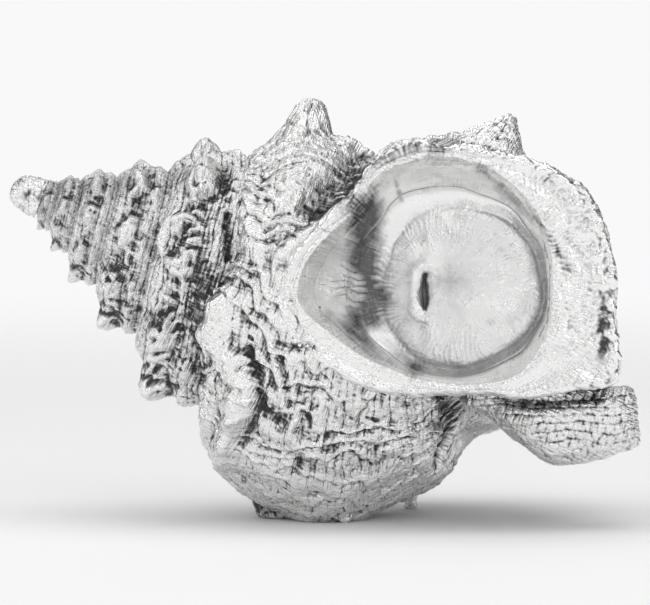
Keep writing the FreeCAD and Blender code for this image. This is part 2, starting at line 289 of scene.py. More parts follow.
def silver(slot, dark_tone, roughness, patchiness, grain, grain_size, line_relief, line_tarnish):
    """Slot and material of bright metal with dark hollows, a fine grain and thin lines.

    tarnish is the brightness of the darkest hollows. grain is the height of the fine
    grain and grain_size its width, both in millimetres. The lines run along and across the
    growth, and line_relief and line_tarnish are their strengths in the relief and the tone.
    """
    material = bpy.data.materials.new(slot)
    material.use_nodes = True
    tree = material.node_tree
    tree.nodes.clear()
    place = node(tree, "ShaderNodeTexCoord").outputs["Object"]
    # the hollow attribute holds patina in the hollows together with painted shade and painted
    # highlights
    hollow = node(tree, "ShaderNodeAttribute", attribute_name="hollow").outputs["Fac"]
    patches = node(
        tree, "ShaderNodeTexNoise",
        {"Vector": place, "Scale": PATCH_SCALE, "Detail": 5.0, "Roughness": 0.65},
    )
    shifted = node(
        tree, "ShaderNodeMath", {0: patches.outputs["Fac"], 1: 0.5}, operation="SUBTRACT"
    )
    hollow = node(
        tree, "ShaderNodeMath", {0: hollow, 1: line_tarnish}, operation="ADD"
    ).outputs[0]
    tone = node(
        tree, "ShaderNodeMath", {0: shifted.outputs[0], 1: patchiness, 2: hollow},
        operation="MULTIPLY_ADD",
    ).outputs[0]
    fine = node(
        tree, "ShaderNodeTexNoise", {"Vector": place, "Scale": 1 / (grain_size * MM), "Detail": 4.0}
    )
    flow = node(tree, "ShaderNodeAttribute", attribute_name="flow").outputs["Vector"]
    height = fine.outputs["Fac"]
    for stretch in LINE_STRETCHES:
        stretched = node(
            tree, "ShaderNodeVectorMath", {0: flow, 1: stretch}, operation="MULTIPLY"
        )
        lines = node(
            tree, "ShaderNodeTexNoise",
            {"Vector": stretched.outputs[0], "Scale": 0.8, "Detail": 3.0},
        ).outputs["Fac"]
        height = node(
            tree, "ShaderNodeMath", {0: lines, 1: line_relief, 2: height},
            operation="MULTIPLY_ADD",
        ).outputs[0]
        tone = node(
            tree, "ShaderNodeMath", {0: lines, 1: -line_tarnish, 2: tone},
            operation="MULTIPLY_ADD",
        ).outputs[0]
    ramp = node(tree, "ShaderNodeValToRGB", {"Fac": tone})
    ramp.color_ramp.elements[0].position = 0.54
    ramp.color_ramp.elements[0].color = POLISHED
    ramp.color_ramp.elements[1].position = 1.0
    ramp.color_ramp.elements[1].color = (dark_tone, dark_tone, dark_tone * 1.02, 1)
    rough = node(
        tree,
        "ShaderNodeMapRange",
        {"Value": tone, "From Min": 0.3, "From Max": 1.0,
         "To Min": roughness, "To Max": roughness + 0.3},
    )
    bump = node(
        tree, "ShaderNodeBump", {"Height": height, "Strength": 1.0, "Distance": grain * MM}
    )
    metal = node(
        tree,
        "ShaderNodeBsdfPrincipled",
        {"Base Color": ramp.outputs["Color"], "Metallic": 1.0,
         "Roughness": rough.outputs[0], "Normal": bump.outputs["Normal"]},
    )
    node(tree, "ShaderNodeOutputMaterial", {"Surface": metal.outputs["BSDF"]})
    return slot, material


OUTSIDE = silver(
    "silver_outside", dark_tone=0.07, roughness=0.17, patchiness=0.45,
    grain=0.08, grain_size=1.1, line_relief=8.0, line_tarnish=0.80,
)
LIP = silver(
    "silver_lip", dark_tone=0.08, roughness=0.19, patchiness=0.40,
    grain=0.04, grain_size=1.1, line_relief=7.0, line_tarnish=0.40,
)
INSIDE = silver(
    "silver_inside", dark_tone=0.16, roughness=0.25, patchiness=0.15,
    grain=0.04, grain_size=1.2, line_relief=5.0, line_tarnish=0.25,
)


# whorls -----------------------------------------------------------------------------------
def reach(turn):
    """Distance from the apex to the suture at a turn; it stops growing at the lip."""
    return SUTURE_ALONG * GROWTH ** np.minimum(turn, 0)


def narrowing(turn, share):
    """Factor on the radius: the last half turn draws in towards the lip."""
    late = np.clip((turn + 0.5) / 0.5, 0, 1)
    away = np.clip((share - 1.0) / 0.2, 0, 1)
    return 1 - (1 - LIP_NARROWING) * late * away


# the aperture's margin as (along, height): the outer lip, then the inner lip back to its start
LIP_OUTLINE = [
    (95.5, 37.5), (97.8, 47.0), (103.4, 54.3), (118, 59), (132, 62), (146, 63), (156, 62),
    (163, 57.5), (170, 49.5), (176, 39.5), (182, 25), (187, 11.5),
]
INNER_OUTLINE = [
    (177.6, 5.8), (166.3, -1.5), (153.7, -5.5), (141, -10.5), (131, -14.5), (120, -16.5),
    (107, -15), (94.5, -11), (86.5, 0), (86, 12), (91.0, 26),
]
MARGIN = LIP_OUTLINE + INNER_OUTLINE
CENTRE = np.array([132.0, 22.0])
LIP_INSET = 2.2
STRAIGHT_TURNS = 0.128
LATE_TURN = -0.4


def whorl_points(turn, outline, place):
    """Points of the smooth whorl, with their place in it as a share along.

    The last turns take the outline of the lip, and past turn 0 the whorl runs straight to it.
    """
    shares = smooth_line(outline, place)
    size = reach(turn)
    angle = 2 * math.pi * np.minimum(turn, 0)
    along = size * shares[..., 0]
    radius = size * shares[..., 1] * narrowing(turn, shares[..., 0])
    lip = smooth_line(LIP_OUTLINE, place)
    straight = np.clip(turn / STRAIGHT_TURNS, 0, 1)
    late = step(turn, LATE_TURN, 0.0)
    along = along * (1 - late) + lip[..., 0] * late
    radius = radius * (1 - late) + (lip[..., 1] - LIP_INSET * (1 - straight)) * late
    across = -FLATNESS * radius * np.sin(angle) - straight * (LIP_DEPTH - 1)
    return np.stack([along, across, radius * np.cos(angle)], -1), shares[..., 0]


def around(outline, angles):
    """Distance of a closed outline from the centre of the aperture."""
    offset = np.asarray(outline, float) - CENTRE
    angle = np.arctan2(offset[:, 1], offset[:, 0])
    order = np.argsort(angle)
    angle, radius = angle[order], np.linalg.norm(offset, axis=1)[order]
    turned = np.concatenate([angle - 2 * math.pi, angle, angle + 2 * math.pi])
    return through(turned, np.tile(radius, 3), angles)


def make_room(points, deepest):
    """Push the wall that the aperture replaces behind the aperture's bowl."""
    offset = points[..., [0, 2]] - CENTRE
    angle = np.arctan2(offset[..., 1], offset[..., 0])
    away = np.linalg.norm(offset, axis=-1) / around(MARGIN, angle)
    hidden = 1 - step(away, 0.86, 0.92)
    across = points[..., 1]
    pushed = np.maximum(across, deepest)
    points = points.copy()
    points[..., 1] = across + (pushed - across) * hidden * (across < 0)
    return points


# folds, knobs and hollows on the side with the aperture: (path, width, height)
FOLDS = [
    # knob at the suture, the ridge that runs down from it and the groove behind the ridge
    ([(71.5, -10.0), (73.0, -14.5)], 4.6, 6.4),
    (
        [(73.0, -19.0), (81.0, -24.5), (87.1, -29.5), (88.1, -37.8), (88.4, -45.1), (89.2, -51.3)],
        3.0, 3.8,
    ),
    ([(83.5, -19.0), (90.0, -25.5), (93.2, -31.0), (93.0, -38.5), (92.0, -46.0)], 1.5, -2.2),
    ([(79.0, -29.0), (81.5, -38.0), (83.0, -47.0)], 1.3, -1.2),
    # long lines between the groove and the aperture
    ([(90.0, -16.0), (97.0, -26.0), (99.0, -30.0)], 1.0, 1.3),
    ([(95.5, -17.0), (101.5, -27.0)], 1.0, 1.2),
    # dark cell with a raised edge, and a small one below it
    ([(97.0, -33.5), (99.5, -34.5)], 2.8, -2.6),
    ([(103.6, -31.0), (104.2, -37.0)], 1.2, 1.4),
    ([(109.5, -44.0), (110.2, -47.0)], 1.3, -1.6),
    # smooth tongue above the suture and the hollow beside the aperture's rim
    ([(64.5, 27.0), (69.2, 18.2), (75.3, 9.4)], 3.4, 2.6),
    ([(59.0, 25.0), (63.5, 15.0), (68.0, 5.0)], 1.8, -2.0),
    ([(92.0, 45.0), (90.0, 37.0), (86.5, 29.5)], 5.2, -6.0),
    ([(98.5, 44.5), (94.6, 30.0), (88.0, 20.5), (83.0, 10.0)], 1.8, 2.4),
    # ring-shaped fold on the penultimate whorl
    ([(52.5, 11.5), (48.2, 8.0), (47.6, 2.0), (51.0, -3.0), (56.0, -2.5)], 1.3, 1.9),
    ([(53.5, 7.5), (52.5, 1.5)], 2.2, -1.8),
    # cavity beside the canal
    ([(147.0, -14.0), (150.5, -22.0), (151.0, -30.0)], 3.0, -3.6),
]
FRONT = -5

CORD_PITCH = 0.066
GROWTH_PITCH = 0.0235
KNOB_SHARE = 1.235
LOWER_KNOB_SHARE = 1.42
VARICES_PER_TURN = 1.5


def sculpture(turn, share, points):
    """Height above the smooth whorl of its knobs, growth ridges, cords, crinkle and varices."""
    size = reach(turn)
    scale = (size / 75) ** 0.6
    last = step(turn, -1.15, -0.85)
    calm = 1 - 0.25 * last * step(turn, -0.64, -0.56)
    wide = noise(points, 17.0)
    middle = noise(points, 6.5, 1)
    small = noise(points, 2.8, 2)
    patches = 0.35 + 0.65 * step(noise(points, 13.0, 18), -0.35, 0.45)

    # one row of knobs on the shoulder and a weaker pair of rows below it
    count = turn * NODULES_PER_WHORL
    number = np.round(count)
    strength = (1 + 0.3 * np.sin(2.4 * number)) * (1 - 0.85 * step(number, -8.5, -7.5))
    sideways = (count - number) / NODULES_PER_WHORL * 2 * math.pi * 0.72
    sideways = sideways + 0.10 * small
    nodule = strength * bell(sideways / 0.17) * bell((share - KNOB_SHARE + 0.02 * middle) / 0.085)
    lower = strength * bell((np.abs(sideways) - 0.12) / 0.10)
    lower = lower * bell((share - LOWER_KNOB_SHARE) / 0.055)

    # growth ridges across the whorl
    growth_phase = turn / GROWTH_PITCH + 1.5 * wide + 0.5 * middle + 0.12 * small
    band = np.floor(growth_phase)
    growth = (0.3 + 0.85 * last + 0.4 * middle) * shingle(growth_phase)
    growth += 0.30 * shingle(3.3 * growth_phase + 0.7 * middle + 0.3 * small) * patches

    # cords along the whorl, with finer cords on them
    cord_phase = share / CORD_PITCH + 0.45 * wide + 0.16 * middle
    cord_phase = cord_phase + 0.22 * last * np.sin(2.4 * band)
    cords = (0.65 - 0.3 * last) * rope(cord_phase) * (0.4 + 0.6 * patches)
    cords += (0.45 - 0.19 * last) * rope(2 * cord_phase + 0.25 * small) * step(turn, -3.2, -1.2)
    cords += 0.22 * rope(5 * cord_phase + 0.6 * small) * step(turn, -2.6, -1.4)

    # crumpled surface, thin winding grooves, pits and beads where cords and ridges cross
    crinkle = 0.28 * creases(points, 7.0, 3) + 0.12 * creases(points, 3.0, 4) * patches
    squiggles = bell(noise(points, 3.6, 22) / 0.07) * step(noise(points, 8.0, 23), -0.2, 0.1)
    crinkle += 0.7 * noise(points, 11.0, 6) + 0.25 * middle + 0.45 * last * noise(points, 4.6, 25)
    pits = -0.8 * step(noise(points, 4.2, 19), 0.60, 0.80)
    beads = 0.25 * rope(2 * cord_phase) * shingle(growth_phase) * last
    fine = cords + growth + crinkle + beads + pits - 1.25
    relief = scale * calm * (1 - 0.6 * np.minimum(nodule, 1)) * fine - 0.38 * scale * squiggles

    relief += (0.165 - 0.04 * last) * size * nodule
    relief -= 0.055 * size * (1 - last) * bell((share - 1.24) / 0.12)
    relief += 0.05 * size * lower

    # thick rib with a groove behind it, and the groove along the suture
    varix = (turn + 0.64) * VARICES_PER_TURN
    near = (varix - np.round(varix)) / VARICES_PER_TURN
    relief += 0.022 * size * bell(near / 0.018) * (share < 1.6)
    relief -= 0.016 * size * bell((near - 0.034) / 0.014) * (share < 1.6)
    relief -= 0.03 * size * bell((share - 1.0) / 0.04)
    return relief


# painted shade and painted highlights on the side with the aperture: (path, width, strength),
# where a negative strength is a painted highlight
PAINTED_SHADE_AND_HIGHLIGHT = [
    ([(92.0, 44.0), (89.5, 37.0), (87.0, 30.0)], 5.0, 0.45),
    ([(60.0, 24.0), (62.0, 8.0), (65.5, -5.0), (67.0, -17.0)], 4.5, 0.12),
    ([(38.0, -12.0), (46.0, -20.0), (52.0, -26.0)], 6.0, 0.12),
    # painted shadow in the deep suture to the left of the knob
    ([(64.5, -4.0), (65.0, -12.0), (68.5, -21.0), (75.0, -31.0)], 2.8, 0.55),
    ([(79.5, -10.0), (80.5, -17.0), (86.5, -23.0), (92.5, -30.0), (92.5, -40.0)], 1.8, 0.22),
    ([(145.0, -13.0), (150.0, -20.0), (151.5, -30.0)], 4.0, 0.35),
    ([(96.0, -33.0), (104.0, -35.0), (118.0, -37.0), (130.0, -37.0)], 3.6, 0.16),
    ([(90.0, -22.0), (96.0, -24.0), (103.0, -26.0)], 5.0, 0.10),
    ([(80.0, 24.0), (84.0, 10.0), (85.0, -2.0)], 6.5, -0.12),
    # painted highlight along the ridge below the knob
    ([(71.5, -9.0), (75.0, -19.0), (85.0, -30.0), (88.0, -48.0)], 3.4, -0.26),
    ([(74.0, 36.0), (74.0, 54.0)], 7.0, -0.14),
    ([(98.0, -50.0), (110.0, -54.0), (125.0, -49.0), (140.0, -40.0)], 8.0, -0.14),
    ([(13.0, 5.0), (33.0, 14.0), (50.0, 26.0)], 4.0, 0.10),
]


def painted(points, strokes, uneven):
    """Sum of soft strokes (path, width, strength) over the picture plane of the shell, used as
    painted shade and painted highlights, and as grooves in the aperture's relief.
    """
    plane = points[..., [0, 2]]
    total = np.zeros(points.shape[:-1])
    for path, width, strength in strokes:
        total += strength * bell(distance_to(plane, path)[0] / width)
    return total * uneven


def front_folds(points):
    """Extra relief of the folds on the side with the aperture."""
    plane = points[..., [0, 2]]
    extra = np.zeros(points.shape[:-1])
    for path, width, height in FOLDS:
        extra += height * bell(distance_to(plane, path)[0] / width)
    return extra * (points[..., 1] < FRONT)


# knobs pushed out of the whorls and hollows pushed into them:
# (place, direction, half widths, height, power), where a high power gives a flat top
REAR_NOTCH = ((157.0, 14, -23), (0.87, 0, -0.50), (8.5, 22.0, 8.5), -6.0, 2.0)
PUSHES = [
    # knob on the spire, horn, spike of the lip and swell of the belly
    ((50.0, 0, 24), (-0.1, 0, 1), (4.8, 6.0, 9.0), 2.2, 4.0),
    ((75.5, 0, 43), (-0.1, 0, 1), (7.4, 7.0, 14.0), 8.6, 5.0),
    ((127.0, -4, 60), (0.27, 0, 1), (9.0, 8.5, 12.0), 14.0, 2.0),
    ((124.0, -8, -56), (0.37, 0, -0.93), (12.0, 19.0, 14.0), 4.2, 2.0),
    # flatter side of the belly and the notch between it and the canal
    ((148.0, -3, -42), (0.55, 0, -0.84), (11.0, 17.0, 12.0), -2.4, 2.0),
    REAR_NOTCH,
]


def push(points, place, direction, width, height, power):
    """Movement of points near a place along a direction."""
    away = np.linalg.norm((points - np.asarray(place, float)) / np.asarray(width, float), axis=-1)
    rise = height * np.exp(-away ** power)
    return rise[..., None] * np.asarray(direction, float)


def edged(start, end, count, edge):
    """Evenly spaced values with one more very close to each end, so that seams stay crisp."""
    inside = np.linspace(start + edge, end - edge, count - 2)
    return np.concatenate([[start], inside, [end]])


SEAM_TURN = 0.0002
FLOW_PER_TURN = 300
# dark tone set on the inner side of each skin, mostly hidden inside the shell
BACK_DARKNESS = 0.9
INNER_PLACES = (0.97, 0.04, 9)
OUTER_ROOM = -14.0
INNER_ROOM = -10.0


def skin(name, start, end, rows, columns, replaced, last_whorl=False):
    """Closed piece of the shell between two turns.

    A skin of the last whorl reaches down to the base and is a hollow wall. The others are
    solid down to the pillar.
    """
    outline = TUCK + WALL + (BASE if last_whorl else WALL_END)
    turn, place = np.meshgrid(
        edged(start, end, int(rows * DETAIL), SEAM_TURN),
        np.linspace(0, 1, int(columns * DETAIL)),
        indexing="ij",
    )
    smooth, share = whorl_points(turn, outline, place)
    normal = normals_of(smooth)
    outward = smooth.copy()
    outward[..., 0] = 0
    flip = np.sign((normal * outward).sum(-1).mean())
    relief = sculpture(turn, share, smooth) * step(place, 0.0, 0.03) + front_folds(smooth)
    # patina in the hollows with painted shade from the wider surroundings, darker overall on the
    # whorls before the last
    dark = hollows(relief, spacing_of(smooth)) + 0.015 + 0.09 * (1 - step(turn, -1.3, -0.85))
    # painted shade and painted highlights on the side with the aperture
    dark += painted(smooth, PAINTED_SHADE_AND_HIGHLIGHT, (smooth[..., 1] < 0) * (1 + 0.3 * noise(smooth, 4.0, 21)))
    dark = np.clip(dark, 0, 1)
    grid = smooth + normal * flip * relief[..., None]
    for values in PUSHES:
        grid += push(smooth, *values)
    if last_whorl:
        inner_turn, inner_place = np.meshgrid(
            turn[:, 0], np.linspace(*INNER_PLACES), indexing="ij"
        )
        inner = whorl_points(inner_turn, outline, inner_place)[0]
        inner += normals_of(inner) * flip * HOLLOW_WALL
        inner += push(inner, *REAR_NOTCH)
        grid = make_room(grid, OUTER_ROOM)
        inner = make_room(inner, INNER_ROOM)
    else:
        size = reach(turn[:, :1])
        angle = 2 * math.pi * turn[:, :1]
        pillar = np.asarray(PILLAR_SIDE)
        radius = size * pillar[:, 1]
        inner = np.stack(
            [size * pillar[:, 0], -FLATNESS * radius * np.sin(angle), radius * np.cos(angle)], -1
        )
    flow = np.stack([turn * FLOW_PER_TURN, share * reach(turn)], -1)
    full = np.concatenate([grid, inner], axis=1)
    dark = np.concatenate([dark, np.full(inner.shape[:2], BACK_DARKNESS)], axis=1)
    flow = np.concatenate([flow, inner[..., :2]], axis=1)
    return ring_piece(name, to_frame(full), dark, flow, OUTSIDE, replaced)


skin("spire_skin_1", -6, -5, 150, 34, ["spire_whorl_1"])
skin("spire_skin_2", -5, -4, 220, 44, ["spire_whorl_2"])
skin("spire_skin_3", -4, -3, 330, 64, ["spire_whorl_3", "shoulder_knobs_whorl_3"])
skin("spire_skin_4", -3, -2, 470, 92, ["spire_whorl_4", "shoulder_knobs_whorl_4"])
skin("penultimate_skin", -2, -1, 660, 136, ["penultimate_whorl", "shoulder_knobs_penultimate"])
skin("parietal_skin", -1, -0.75, 210, 230, ["body_whorl_parietal", "horn"], True)
skin("front_skin", -0.75, -0.5, 330, 290, ["body_whorl_front", "shoulder_knobs_body"], True)
skin("underside_skin", -0.5, -0.25, 230, 230, ["body_whorl_underside"], True)
skin("back_skin", -0.25, 0, 240, 240, ["body_whorl_back"], True)
skin("lip_wall_skin", 0, STRAIGHT_TURNS, 130, 300, ["lip_spike"], True)

# aperture ---------------------------------------------------------------------------------
# edge between the flat margin and the bowl, as (along, height)
RIM = [
    (100.3, 41.8), (105.6, 48.7), (119, 55.6), (135.2, 55.5), (151.8, 45.9), (160.7, 30.1),
    (163.9, 15.2), (160.2, 4.1), (149, -4.2), (137.6, -8), (121.7, -8.5), (104.2, -5.1),
    (92, 1.4), (90.6, 8.9), (93.8, 21.5), (100.2, 33.7),
]
SEAM_RING = 0.01
APERTURE_THICKNESS = 3.0
# dark tone set on the hidden back of the aperture
APERTURE_BACK_DARKNESS = 0.8
BACK_SHARE = 0.985
FLOW_PER_RADIAN = 30
MARGIN_END = 6.4
LAST_RING = 13
DISC_RADIUS = 25.8
DISC_SHIFT = (2.1, -0.8)
# waves of the disc's edge: (number around, height, start)
DISC_WAVES = [(3, 0.5, 0.7), (5, 0.35, 2.0), (11, 0.2, 0.0)]


def aperture_rings(angle):
    """Rings of the aperture from behind its margin to the middle: (distance, depth)."""
    margin = around(MARGIN, angle)
    rim = around(RIM, angle)
    leftward = 0.5 - 0.5 * np.cos(angle)
    depth = LIP_DEPTH + 2.5 * leftward ** 2
    disc = DISC_RADIUS + DISC_SHIFT[0] * np.cos(angle) + DISC_SHIFT[1] * np.sin(angle)
    for number, height, start in DISC_WAVES:
        disc += height * np.sin(number * angle + start)
    slope = step(rim - disc, 6, 20)
    middle = disc + (rim - disc) * (0.35 + 0.15 * slope)
    return [
        (margin - 3.0, depth - 9.0),
        (margin - 0.5, depth - 5.0),
        (margin + 0.6, depth - 2.0),
        (margin - 1.0, depth + 0.2),
        (margin * 0.5 + rim * 0.5, depth - 0.6),
        (rim + 1.2, depth - 0.2),
        (rim - 0.6, depth - 2.0),
        (middle, depth - 12.5 - 2.0 * slope),
        (disc + 1.6 + 2.6 * leftward, 24.0 + 1.6 * leftward),
        (disc - 0.5 - 1.5 * leftward, 24.6 - 1.6 * leftward),
        (disc * 0.88 - 2.5 * leftward, 25.8 - 2.2 * leftward),
        (disc * 0.4, 25.8 + 0 * angle),
        (disc * 0.12, 25.0 + 0 * angle),
        (disc * 0.001, 24.9 + 0 * angle),
    ]


def aperture_piece(name, first, last, rows, columns, finish, replaced):
    """Closed piece of the aperture between two of its rings."""
    angle = np.linspace(-math.pi, math.pi, int(columns * DETAIL), endpoint=False)
    rings = aperture_rings(angle)
    knots = np.arange(len(rings), dtype=float)
    distance = np.stack([ring[0] for ring in rings])
    depth = np.stack([ring[1] for ring in rings])
    place = edged(first, last, int(rows * DETAIL), SEAM_RING)
    distance = through(knots, distance, place)
    depth = through(knots, depth, place)
    smooth = np.stack(
        [
            CENTRE[0] + distance * np.cos(angle),
            -depth,
            CENTRE[1] + distance * np.sin(angle),
        ],
        -1,
    )
    # the rings close on themselves, so the first two columns are repeated at the end
    normal = normals_of(np.concatenate([smooth, smooth[:, :2]], axis=1))[:, :-2]
    normal[:, 0] = normal[:, 1]
    normal *= -np.sign(normal[..., 1].mean())
    place = place[:, None] + 0 * angle
    angle = angle + 0 * place
    relief = aperture_relief(smooth, place, angle, distance)
    upward = step(np.sin(angle) + 0.5 * np.cos(angle), 0.1, 0.5)
    wall = step(place, 6.3, 6.9) * (1 - step(place, 8.0, 8.4))
    ragged = np.clip(1 + 0.8 * noise(smooth * np.array([0.35, 1.0, 1.3]), 2.4, 21), 0, 1.6)
    # painted shade and the painted highlight of the strokes, with painted shade on the upper part
    # of the wall
    shade = painted(smooth, SHADES, 1) * (0.85 + 0.15 * ragged) + 0.17 * wall * upward - 0.06
    dark = np.clip(hollows(relief, spacing_of(smooth)) + shade, 0, 1)
    grid = smooth + normal * relief[..., None]
    # every eighth ring again, from last to first, makes the back
    back = grid[::-8][1:-1].copy()
    back[..., 1] += APERTURE_THICKNESS
    back[:, :, [0, 2]] = CENTRE + (back[:, :, [0, 2]] - CENTRE) * BACK_SHARE
    full = np.concatenate([grid, back], axis=0)
    dark = np.concatenate([dark, np.full(back.shape[:2], APERTURE_BACK_DARKNESS)], axis=0)
    turn_angle = np.arctan2(full[..., 2] - CENTRE[1], full[..., 0] - CENTRE[0])
    outward = np.linalg.norm(full[..., [0, 2]] - CENTRE, axis=-1)
    flow = np.stack([outward, turn_angle * FLOW_PER_RADIAN], -1).reshape(-1, 2)
    full = to_frame(full)
    index = np.arange(full.shape[0] * full.shape[1]).reshape(full.shape[:2])
    right = np.roll(index, -1, axis=1)
    down = np.roll(index, -1, axis=0)
    down_right = np.roll(right, -1, axis=0)
    quads = np.stack([index, down, down_right, right], -1).reshape(-1, 4)
    points = full.reshape(-1, 3)
    return make_piece(name, points, quads.tolist(), dark.ravel(), flow, finish, replaced)


# painted shade of the aperture, with one painted highlight: (path as along and height, width,
# strength)
SHADES = [
    # valley on the left of the disc and the wedge above it
    ([(100.0, 32.0), (104.5, 23.0), (107.8, 16.0), (111.5, 9.0), (113.5, 4.0)], 6.0, 0.58),
    ([(101.5, 38.5), (105.0, 31.0)], 3.2, 0.15),
    # ragged dark streaks between the disc and the band below
    ([(103.0, 0.0), (112.0, -3.8), (122.0, -6.3), (131.0, -6.6)], 3.0, 0.28),
    # painted highlight on the bright swell on the left
    ([(94.0, 13.0), (98.0, 7.0), (103.0, 2.0)], 4.0, -0.16),
    # step above the disc
    ([(104.9, 43.9), (109.8, 38.8)], 1.1, 0.13),
    # crescent below the disc
    ([(131.0, -6.6), (146.0, -3.6), (154.0, 1.5)], 2.2, 0.12),
    # grooves beside the rough edge of the lip
    (
        [(127.0, 56.1), (134.0, 53.8), (140.8, 51.0), (149.4, 47.2), (156.5, 42.6), (162.7, 38.0)],
        1.8, 0.26,
    ),
    ([(180.8, 19.0), (178.0, 27.0), (175.0, 33.5)], 1.9, 0.36),
    # outer edge at the upper left
    ([(98.0, 47.0), (107.0, 54.8), (115.0, 57.6)], 3.0, 0.36),
]


STRIAE = 82
MARGIN_RIDGES = 16
# slit in the disc, as (along, height)
PIT = [(124.3, 20.6), (126.2, 15.5), (127.6, 11.8)]


def aperture_relief(points, place, angle, distance):
    """Ridges of the margin, smooth swells of the wall, striae and slit of the disc."""
    margin = 1 - step(place, 5.4, 6.6)
    disc = step(place, 8.3, 9.2)
    wall = (1 - margin) * (1 - disc)
    wide = noise(points, 14.0, 7)
    middle = noise(points, 5.0, 8)
    small = noise(points, 2.2, 9)

    # margin
    upper = step(np.sin(angle) + 0.3 * np.cos(angle), -0.15, 0.35)
    edge = 1 - step(place, 2.9, 3.9)
    rough = 0.5 * creases(points, 4.5, 10) + 0.3 * creases(points, 1.9, 11)
    relief = margin * upper * (0.35 * middle + 0.35 * rough - 0.2)
    relief += margin * edge * (0.6 + 0.4 * upper) * (0.7 * middle + 0.8 * rough - 0.4)
    relief += margin * (0.5 * wide + 0.12 * middle)
    across = shingle(angle * MARGIN_RIDGES + 2.0 * wide + 1.2 * middle)
    relief += margin * (0.08 + 0.12 * upper) * across
    brushed = rope(points[..., 2] / 0.9 + 2.5 * wide + 1.0 * middle)
    relief += margin * (1 - upper) * 0.09 * brushed

    # disc
    striae = np.sin(STRIAE * angle + 0.4 * distance + 7 * middle + 6 * wide + 1.5 * small)
    striae *= step(distance, 7, 18) * (0.4 + 0.6 * step(middle, -0.5, 0.5))
    spokes = noise(np.stack([distance * 0.3, 0 * distance, angle * 8], -1), 2.0, 24)
    relief += disc * (0.07 * striae + 0.45 * wide + 0.20 * middle + 0.05 * small)
    relief += disc * 0.32 * spokes * step(distance, 4, 14)

    # wall, with a wrinkled swell on its left
    relief += wall * (0.5 * wide + 0.12 * middle + 0.03 * small)
    relief -= 1.6 * painted(points, SHADES, 1)
    leftward = step(-np.cos(angle), 0.45, 0.95) * step(place, 6.3, 7.2)
    swell = points[..., [0, 2]] - np.array([99.0, 8.0])
    swell = bell(np.linalg.norm(swell / np.array([9.0, 5.5]), axis=-1))
    wrinkles = rope((points[..., 2] - 0.18 * points[..., 0]) / 2.2 + 0.45 * middle + 0.15 * small)
    relief += leftward * swell * (1.4 + 0.9 * wrinkles)

    pit, passed = distance_to(points[..., [0, 2]], PIT)
    width = 0.55 + 0.95 * np.sin(math.pi * np.clip(passed, 0.08, 1)) + 0.35 * small
    relief += 0.6 * bell((pit - 3.4) / 1.4) - 3.0 * bell(pit / np.maximum(width, 0.3))
    return relief


aperture_piece(
    "aperture_margin", 0, MARGIN_END, 140, 620, LIP,
    ["outer_lip", "inner_lip", "parietal_callus", "anal_canal"],
)
aperture_piece("aperture_bowl", MARGIN_END, LAST_RING, 160, 540, INSIDE, ["aperture_lining"])

# siphonal canal ---------------------------------------------------------------------------
# sections across the axis: (along, forward, height, half height, half depth)
CANAL = [
    (149, 14, -8.0, 4.0, 7.0), (156, 18, -6.0, 5.5, 8.5), (162.5, 22, -4.8, 8.6, 9.5),
    (170, 25, -5.6, 10.4, 10.0), (181, 24, -4.2, 13.2, 9.5), (187.5, 23, -1.6, 12.6, 9.0),
    (193, 22, 1.0, 11.4, 8.0), (197.5, 20, 0.5, 7.4, 6.0), (200.5, 18, -1.2, 3.8, 4.0),
    (202.2, 17, -2.4, 0.8, 1.5),
]
CANAL_LENGTH = 55
CANAL_GIRTH = 62
CANAL_GROOVE = [(158, -4.5), (168, -2.2), (178, 3.0), (184, 6.0)]
ROW_PITCH = 2.7
BAR_PITCH = 2.6


def canal(rows, columns):
    """Closed piece of the canal and its fin, with level rows of cells and one groove."""
    place, angle = np.meshgrid(
        np.linspace(0, 1, int(rows * DETAIL)),
        np.linspace(0, 2 * math.pi, int(columns * DETAIL), endpoint=False),
        indexing="ij",
    )
    section = smooth_line(CANAL, place)
    up, front = np.cos(angle), np.sin(angle)
    smooth = np.stack(
        [
            section[..., 0],
            -section[..., 1] - section[..., 4] * front,
            section[..., 2] + section[..., 3] * up,
        ],
        -1,
    )
    normal = normals_of(smooth)
    outward = np.stack([0 * up, -front, up], -1)
    normal *= np.sign((normal * outward).sum(-1).mean())
    wide = noise(smooth, 12.0, 12)
    middle = noise(smooth, 4.0, 13)
    rightward = smooth[..., 0] * math.cos(TILT) + smooth[..., 2] * math.sin(TILT)
    upward = smooth[..., 2] * math.cos(TILT) - smooth[..., 0] * math.sin(TILT)
    row = upward / ROW_PITCH + 0.5 * wide + 0.16 * middle
    lines = rope(row) * (0.7 + 0.5 * noise(smooth, 9.0, 26))
    shifted = rightward / BAR_PITCH + 0.4 * np.sin(2.1 * np.floor(row))
    bars = rope(shifted + 0.5 * wide + 0.3 * middle)
    bars *= 0.5 + 0.6 * step(noise(smooth, 7.0, 27), -0.3, 0.3)
    below = (smooth[..., 2] - section[..., 2]) / section[..., 3]
    cells = step(below, -0.75, -0.5)
    relief = (0.42 * lines + 0.30 * bars + 0.3 * lines * bars - 0.7) * cells
    relief += 0.30 * creases(smooth, 3.0, 14) + 0.5 * wide + 0.3 * middle
    groove = bell(distance_to(smooth[..., [0, 2]], CANAL_GROOVE)[0] / 2.6)
    groove *= smooth[..., 1] < -section[..., 1]
    relief -= 2.0 * groove
    spacing = (CANAL_LENGTH / rows, CANAL_GIRTH / columns)
    dark = np.clip(hollows(relief, spacing) + 0.05 * groove, 0, 1)
    grid = to_frame(smooth + normal * relief[..., None])
    flow = smooth[..., [0, 2]]
    return ring_piece("canal_skin", grid, dark, flow, OUTSIDE, ["siphonal_canal"])


canal(300, 300)


